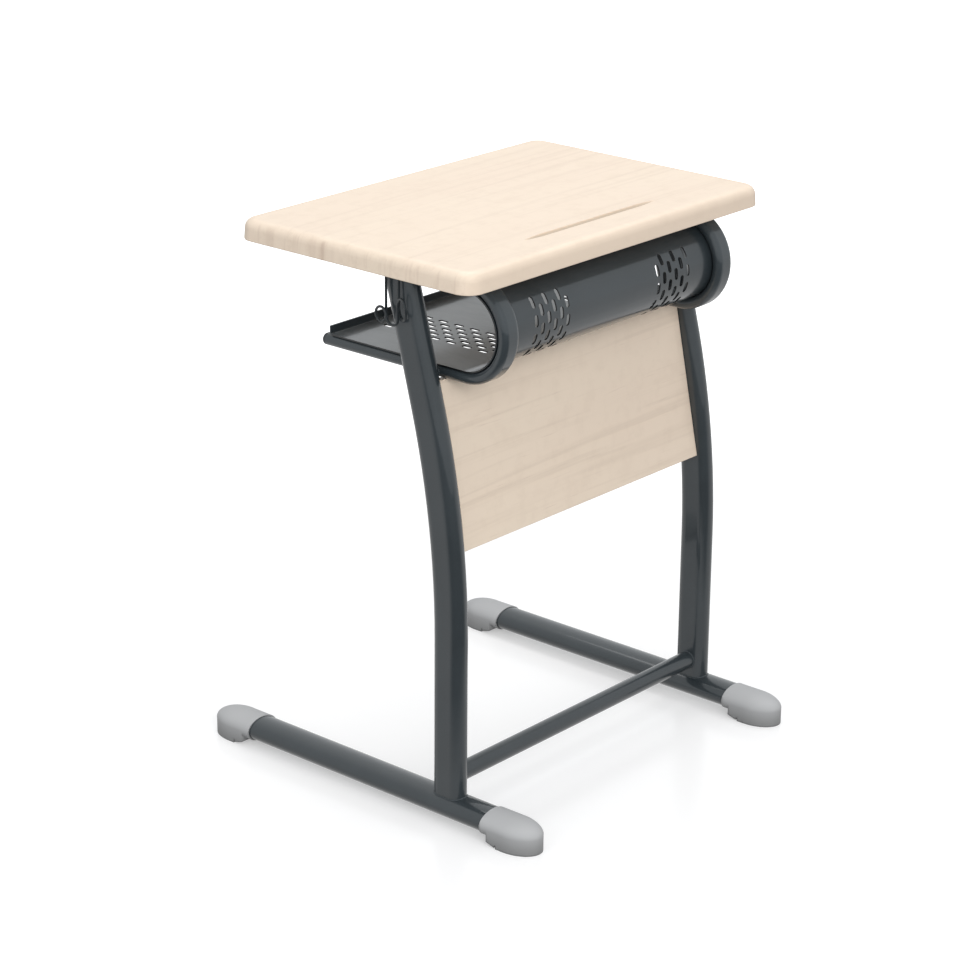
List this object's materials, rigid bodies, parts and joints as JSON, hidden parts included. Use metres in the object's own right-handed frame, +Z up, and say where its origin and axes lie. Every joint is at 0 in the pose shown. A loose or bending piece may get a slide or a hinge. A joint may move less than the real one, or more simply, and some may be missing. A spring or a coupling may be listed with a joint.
{
  "type": "school desk",
  "caption": "Single school desk with a rounded board top, curved oval legs on capped runners, a rolled slotted book tray, a front panel and a wire bag hook.",
  "frame": {"origin": "on the floor under the middle of the worktop", "axes": "+Z up, +X to the seated user's right, +Y away from the user towards the front panel"},
  "size_m": [0.5998, 0.582, 0.76],
  "materials": {
    "top_board": "satin pale maple laminate",
    "panel_board": "satin pale maple laminate",
    "coated_steel": "anthracite semi-gloss powder coat",
    "cap_plastic": "smooth moulded light grey",
    "plug_plastic": "smooth moulded dark grey",
    "screw_steel": "zinc plated"
  },
  "bodies": {
    "root": {"worktop": "top_board", "modesty_panel": "panel_board", "leg_left": "coated_steel", "leg_right": "coated_steel", "foot_rail_left": "coated_steel", "foot_rail_right": "coated_steel", "footrest_bar": "coated_steel", "leg_plate_left": "coated_steel", "leg_plate_right": "coated_steel", "tray_frame_left": "coated_steel", "tray_frame_right": "coated_steel", "tray_sheet": "coated_steel", "tray_spacer_left": "coated_steel", "tray_spacer_right": "coated_steel", "panel_tab_lower_left": "coated_steel", "panel_tab_lower_right": "coated_steel", "panel_tab_upper_left": "coated_steel", "panel_tab_upper_right": "coated_steel", "bag_hook": "coated_steel", "foot_cap_front_left": "cap_plastic", "foot_cap_front_right": "cap_plastic", "foot_cap_rear_left": "cap_plastic", "foot_cap_rear_right": "cap_plastic", "tray_plug_lower_left": "plug_plastic", "tray_plug_lower_right": "plug_plastic", "tray_plug_upper_left": "plug_plastic", "tray_plug_upper_right": "plug_plastic", "leg_plate_screws": "screw_steel", "tray_frame_screws": "screw_steel", "panel_screws": "screw_steel"}
  },
  "joints": []
}
